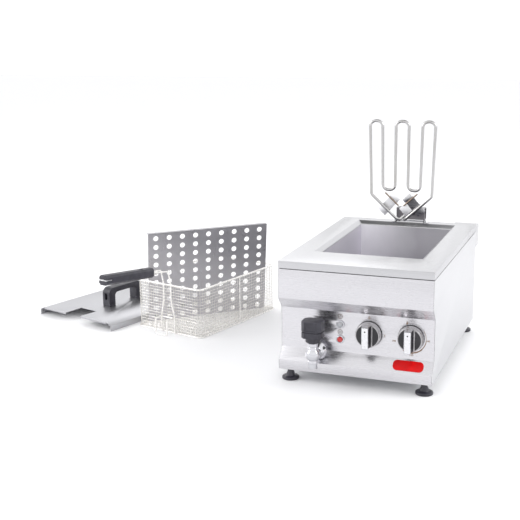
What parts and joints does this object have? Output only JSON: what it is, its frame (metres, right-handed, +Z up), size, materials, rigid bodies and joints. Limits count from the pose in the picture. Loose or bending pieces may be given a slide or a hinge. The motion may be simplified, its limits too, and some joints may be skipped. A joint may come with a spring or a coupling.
{
  "type": "deep fryer",
  "caption": "Countertop electric deep fryer with a swing-up heating element, drain tap, wire basket with a long grip, perforated sieve plate and a lift-off lid.",
  "frame": {"origin": "middle of the whole set's footprint at counter level: fryer, basket, sieve plate and lid as they stand side by side", "axes": "+X to the fryer's right, along the row of pieces; +Y to the fryer's back, so the control panel faces -Y; +Z up"},
  "size_m": [1.327, 0.793, 0.6342],
  "materials": {
    "satin_steel": "satin brushed stainless steel sheet",
    "tank_steel": "smooth pickled stainless steel",
    "chrome_brass": "polished nickel-chrome plated brass",
    "heater_steel": "bright-drawn stainless heater sheath",
    "tinned_wire": "bright nickel-plated steel wire",
    "black_plastic": "moulded black heat-resistant plastic",
    "dark_ring": "turned metal ring",
    "pointer": "silver-white inlay",
    "red_enamel": "glossy red enamel",
    "clear_lens": "clear moulded lens",
    "red_lens": "red moulded lens",
    "galvanised": "galvanised steel",
    "ceramic_wool": "white mineral wool blanket",
    "switch_plastic": "black phenolic moulding",
    "ceramic": "glazed steatite",
    "probe_metal": "drawn copper-nickel tube"
  },
  "bodies": {
    "fryer": {"hob_top": "satin_steel", "left_side_panel": "satin_steel", "right_side_panel": "satin_steel", "front_panel": "satin_steel", "back_panel": "galvanised", "base_plate": "galvanised", "tank": "tank_steel", "tank_insulation": "ceramic_wool", "tank_support_front": "galvanised", "tank_support_rear": "galvanised", "rear_spacer": "satin_steel", "cable_gland": "switch_plastic", "safety_thermostat": "switch_plastic", "badge_plate": "red_enamel", "rotary_switch": "switch_plastic", "control_thermostat": "switch_plastic", "power_lamp_body": "chrome_brass", "power_lamp_lens": "clear_lens", "heating_lamp_body": "chrome_brass", "heating_lamp_lens": "red_lens", "tap_body": "chrome_brass", "drain_pipe": "tank_steel", "hinge_bracket_left": "satin_steel", "hinge_bracket_right": "satin_steel", "hinge_pin": "chrome_brass"},
    "foot_front_left_body": {"foot_front_left": "black_plastic"},
    "foot_front_right_body": {"foot_front_right": "black_plastic"},
    "foot_rear_left_body": {"foot_rear_left": "black_plastic"},
    "foot_rear_right_body": {"foot_rear_right": "black_plastic"},
    "switch_dial": {"switch_knob": "black_plastic", "switch_knob_ring": "dark_ring", "switch_knob_pointer": "pointer", "switch_spindle": "galvanised"},
    "thermostat_dial": {"thermostat_knob": "black_plastic", "thermostat_knob_ring": "dark_ring", "thermostat_knob_pointer": "pointer", "thermostat_spindle": "galvanised"},
    "tap_valve": {"tap_grip": "black_plastic", "tap_ball": "galvanised"},
    "reset": {"reset_button": "red_lens"},
    "element": {"heating_element": "heater_steel", "element_head": "tank_steel", "terminal_block": "ceramic", "thermostat_bulb": "probe_metal", "limiter_bulb": "probe_metal", "bulb_clip_left": "satin_steel", "bulb_clip_right": "satin_steel", "element_vee_plate": "satin_steel"},
    "basket": {"basket_mesh": "tinned_wire", "basket_base_frame": "tinned_wire", "basket_rim": "tinned_wire", "basket_handle_wire": "tinned_wire", "basket_grip": "black_plastic", "basket_grip_strip": "satin_steel"},
    "sieve": {"sieve_plate": "tank_steel"},
    "tank_lid": {"lid": "satin_steel", "lid_handle": "black_plastic", "lid_screw_front": "galvanised", "lid_screw_rear": "galvanised"}
  },
  "joints": [
    {"name": "element_swing", "type": "hinge", "parent": "fryer", "child": "element", "pos_m": [0.4735, 0.2295, 0.3244], "axis": [1, 0, 0], "range_deg": [0, 90]},
    {"name": "switch_turn", "type": "hinge", "parent": "fryer", "child": "switch_dial", "pos_m": [0.497, -0.3195, 0.142], "axis": [0, 1, 0], "range_deg": [0, 90]},
    {"name": "thermostat_turn", "type": "hinge", "parent": "fryer", "child": "thermostat_dial", "pos_m": [0.604, -0.3195, 0.142], "axis": [0, 1, 0], "range_deg": [0, 270]},
    {"name": "tap_turn", "type": "hinge", "parent": "fryer", "child": "tap_valve", "pos_m": [0.3665, -0.3735, 0.091], "axis": [0, 0, 1], "range_deg": [0, 90]},
    {"name": "reset_press", "type": "slide", "parent": "fryer", "child": "reset", "axis": [0, -1, 0], "range_m": [0, 0.003], "stiffness_N_per_m": 800, "springref_m": -0.002},
    {"name": "level_front_left", "type": "slide", "parent": "fryer", "child": "foot_front_left_body", "axis": [0, 0, -1], "range_m": [0, 0.012]},
    {"name": "level_front_right", "type": "slide", "parent": "fryer", "child": "foot_front_right_body", "axis": [0, 0, -1], "range_m": [0, 0.012]},
    {"name": "level_rear_left", "type": "slide", "parent": "fryer", "child": "foot_rear_left_body", "axis": [0, 0, -1], "range_m": [0, 0.012]},
    {"name": "level_rear_right", "type": "slide", "parent": "fryer", "child": "foot_rear_right_body", "axis": [0, 0, -1], "range_m": [0, 0.012]},
    {"name": "basket_lift", "type": "slide", "parent": "fryer", "child": "basket", "axis": [0, 0, 1], "range_m": [0, 0.3]},
    {"name": "sieve_lift", "type": "slide", "parent": "basket", "child": "sieve", "axis": [0, 0, 1], "range_m": [0, 0.2]},
    {"name": "lid_lift", "type": "slide", "parent": "fryer", "child": "tank_lid", "axis": [0, 0, 1], "range_m": [0, 0.15]}
  ]
}
